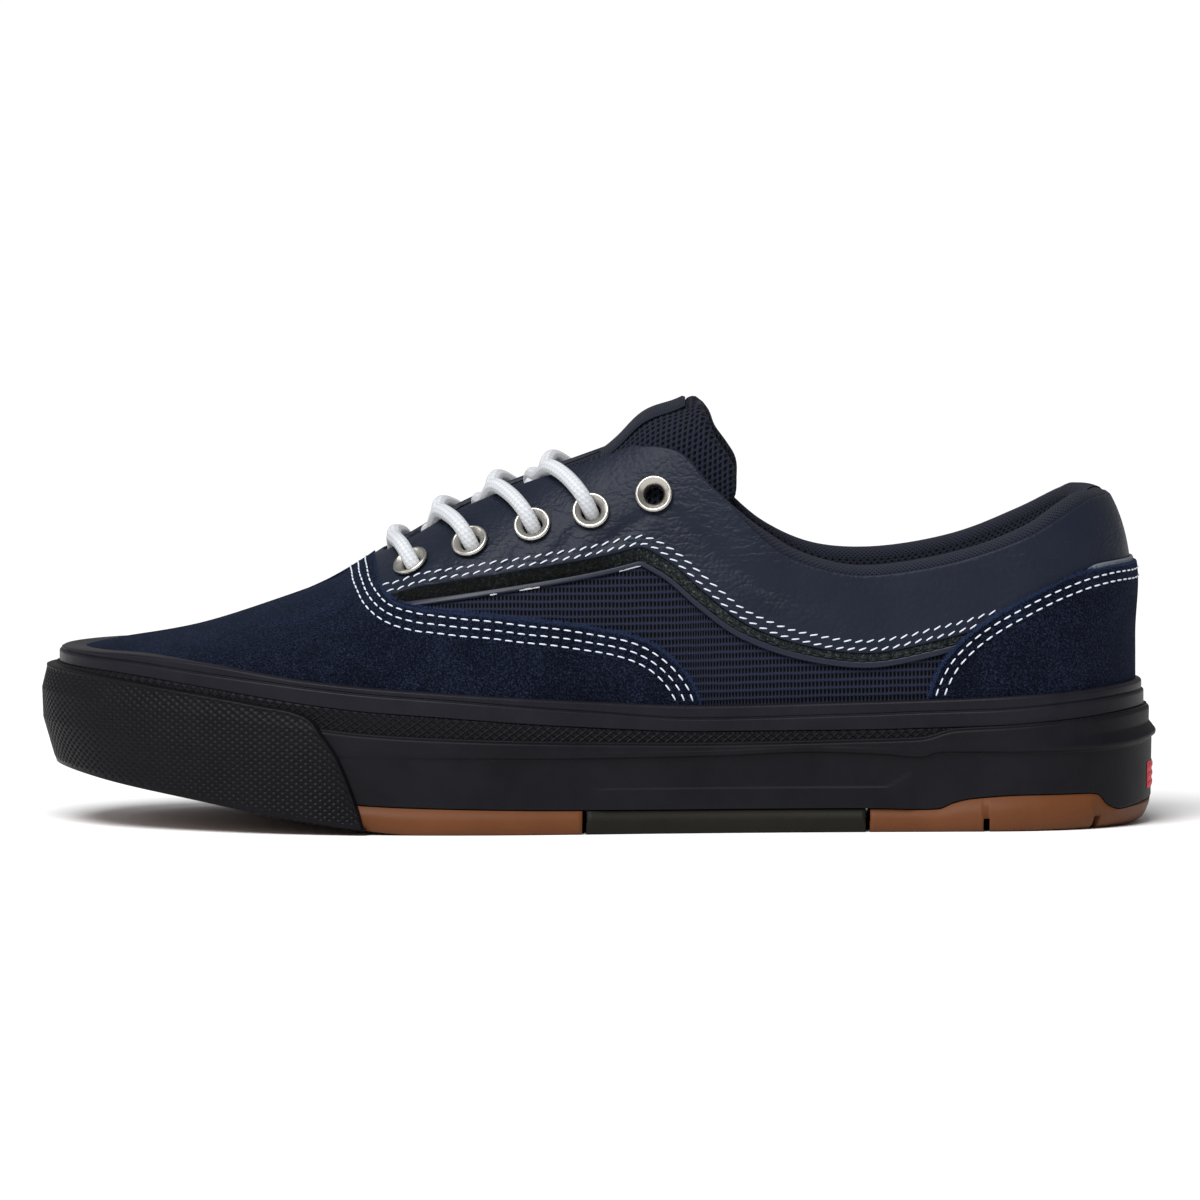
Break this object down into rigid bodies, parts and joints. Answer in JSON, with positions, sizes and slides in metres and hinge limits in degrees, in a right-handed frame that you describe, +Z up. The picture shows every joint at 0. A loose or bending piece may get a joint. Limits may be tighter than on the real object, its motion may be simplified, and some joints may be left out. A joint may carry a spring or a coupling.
{
  "type": "skateboarding shoe",
  "caption": "Low lace-up skateboarding shoe for the left foot, with a suede vamp, leather collar panel, padded mesh upper, and a cup sole with a toe bumper and split outsole.",
  "frame": {"origin": "on the floor, under the middle of the shoe's bounding box", "axes": "-X to the toe, +X to the heel, +Z up, -Y to the outer side of the foot"},
  "size_m": [0.3006, 0.1161, 0.116],
  "materials": {
    "rubber": "matt moulded",
    "gum": "satin gum",
    "olive": "matt moulded",
    "red": "satin moulded",
    "mesh": "woven mesh",
    "suede": "napped suede",
    "leather": "tumbled grain",
    "lining": "knitted lining",
    "metal": "satin nickel",
    "lace": "round woven cord"
  },
  "bodies": {
    "root": {"outsole_forefoot": "gum", "outsole_arch": "olive", "outsole_heel": "gum", "midsole": "rubber", "toe_bumper": "rubber", "foxing_band": "rubber", "heel_tab": "red", "insole": "lining", "upper": "mesh", "vamp_overlay": "suede", "collar_overlay": "leather", "heel_counter": "suede", "tongue": "mesh", "tongue_label": "leather", "lace_bar": "lace", "lace_cross_1": "lace", "lace_cross_2": "lace", "lace_cross_3": "lace", "eyelet_left_1": "metal", "eyelet_left_2": "metal", "eyelet_left_3": "metal", "eyelet_left_4": "metal", "eyelet_left_5": "metal", "eyelet_right_1": "metal", "eyelet_right_2": "metal", "eyelet_right_3": "metal", "eyelet_right_4": "metal", "eyelet_right_5": "metal"}
  },
  "joints": []
}
